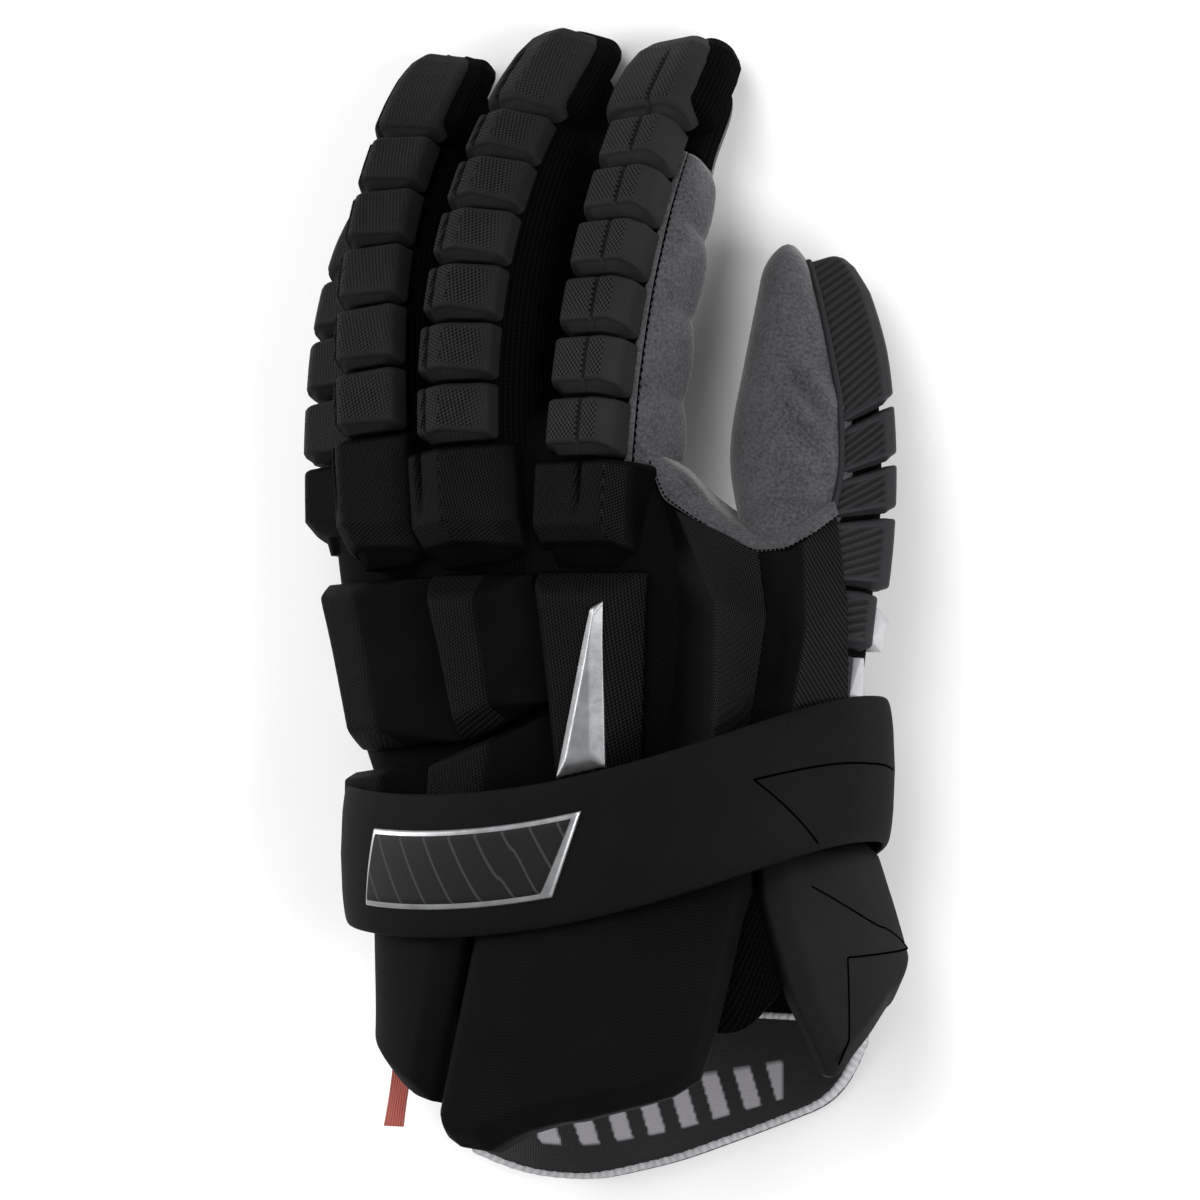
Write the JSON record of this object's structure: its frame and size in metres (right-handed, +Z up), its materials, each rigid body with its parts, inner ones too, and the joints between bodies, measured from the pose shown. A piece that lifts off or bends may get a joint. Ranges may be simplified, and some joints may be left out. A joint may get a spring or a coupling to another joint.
{
  "type": "lacrosse glove",
  "caption": "Padded left-hand lacrosse glove lying palm down, with segmented finger pads, suede palm, wrist strap and open cuff.",
  "frame": {"origin": "bottom centre of the glove's box, on the surface that it lies on", "axes": "+Y to the fingertips, +X to the thumb, +Z up out of the back of the hand"},
  "size_m": [0.1877, 0.3174, 0.0946],
  "materials": {
    "fabric": "matte textured",
    "knit": "matte knit",
    "suede": "suede",
    "mesh": "open mesh",
    "strap_cloth": "smooth twill",
    "silver": "silver satin",
    "white_plastic": "matte",
    "red_cloth": "woven"
  },
  "bodies": {
    "root": {"index_stall": "knit", "index_tip_pad": "fabric", "index_knuckle_block": "fabric", "middle_stall": "knit", "middle_tip_pad": "fabric", "middle_knuckle_block": "fabric", "ring_stall": "knit", "ring_tip_pad": "fabric", "ring_knuckle_block": "fabric", "pinky_stall": "knit", "pinky_tip_pad": "fabric", "pinky_knuckle_block": "fabric", "index_pad_1": "fabric", "index_pad_2": "fabric", "index_pad_3": "fabric", "index_pad_4": "fabric", "index_pad_5": "fabric", "index_pad_6": "fabric", "middle_pad_1": "fabric", "middle_pad_2": "fabric", "middle_pad_3": "fabric", "middle_pad_4": "fabric", "middle_pad_5": "fabric", "middle_pad_6": "fabric", "ring_pad_1": "fabric", "ring_pad_2": "fabric", "ring_pad_3": "fabric", "ring_pad_4": "fabric", "ring_pad_5": "fabric", "pinky_pad_1": "fabric", "pinky_pad_2": "fabric", "pinky_pad_3": "fabric", "hand_base": "fabric", "index_back_block": "fabric", "middle_back_block": "fabric", "ring_back_block": "fabric", "lower_back_block_1": "fabric", "lower_back_block_2": "fabric", "saddle_pad_inner": "fabric", "saddle_pad_outer": "fabric", "thumb_guard_1": "fabric", "thumb_guard_2": "fabric", "thumb_guard_3": "fabric", "thumb_guard_4": "fabric", "thumb_guard_5": "fabric", "thumb_tip_guard": "fabric", "cuff_plate_centre": "fabric", "cuff_plate_left": "fabric", "cuff_plate_right": "fabric", "palm_cuff_panel": "fabric", "palm_suede": "suede", "thumb_suede": "suede", "thumb_stall": "knit", "wrist_sleeve": "mesh", "wrist_strap": "strap_cloth", "badge_plate": "silver", "cuff_binding": "silver", "thumb_plate_1": "white_plastic", "thumb_plate_2": "white_plastic", "size_tab": "red_cloth"}
  },
  "joints": []
}
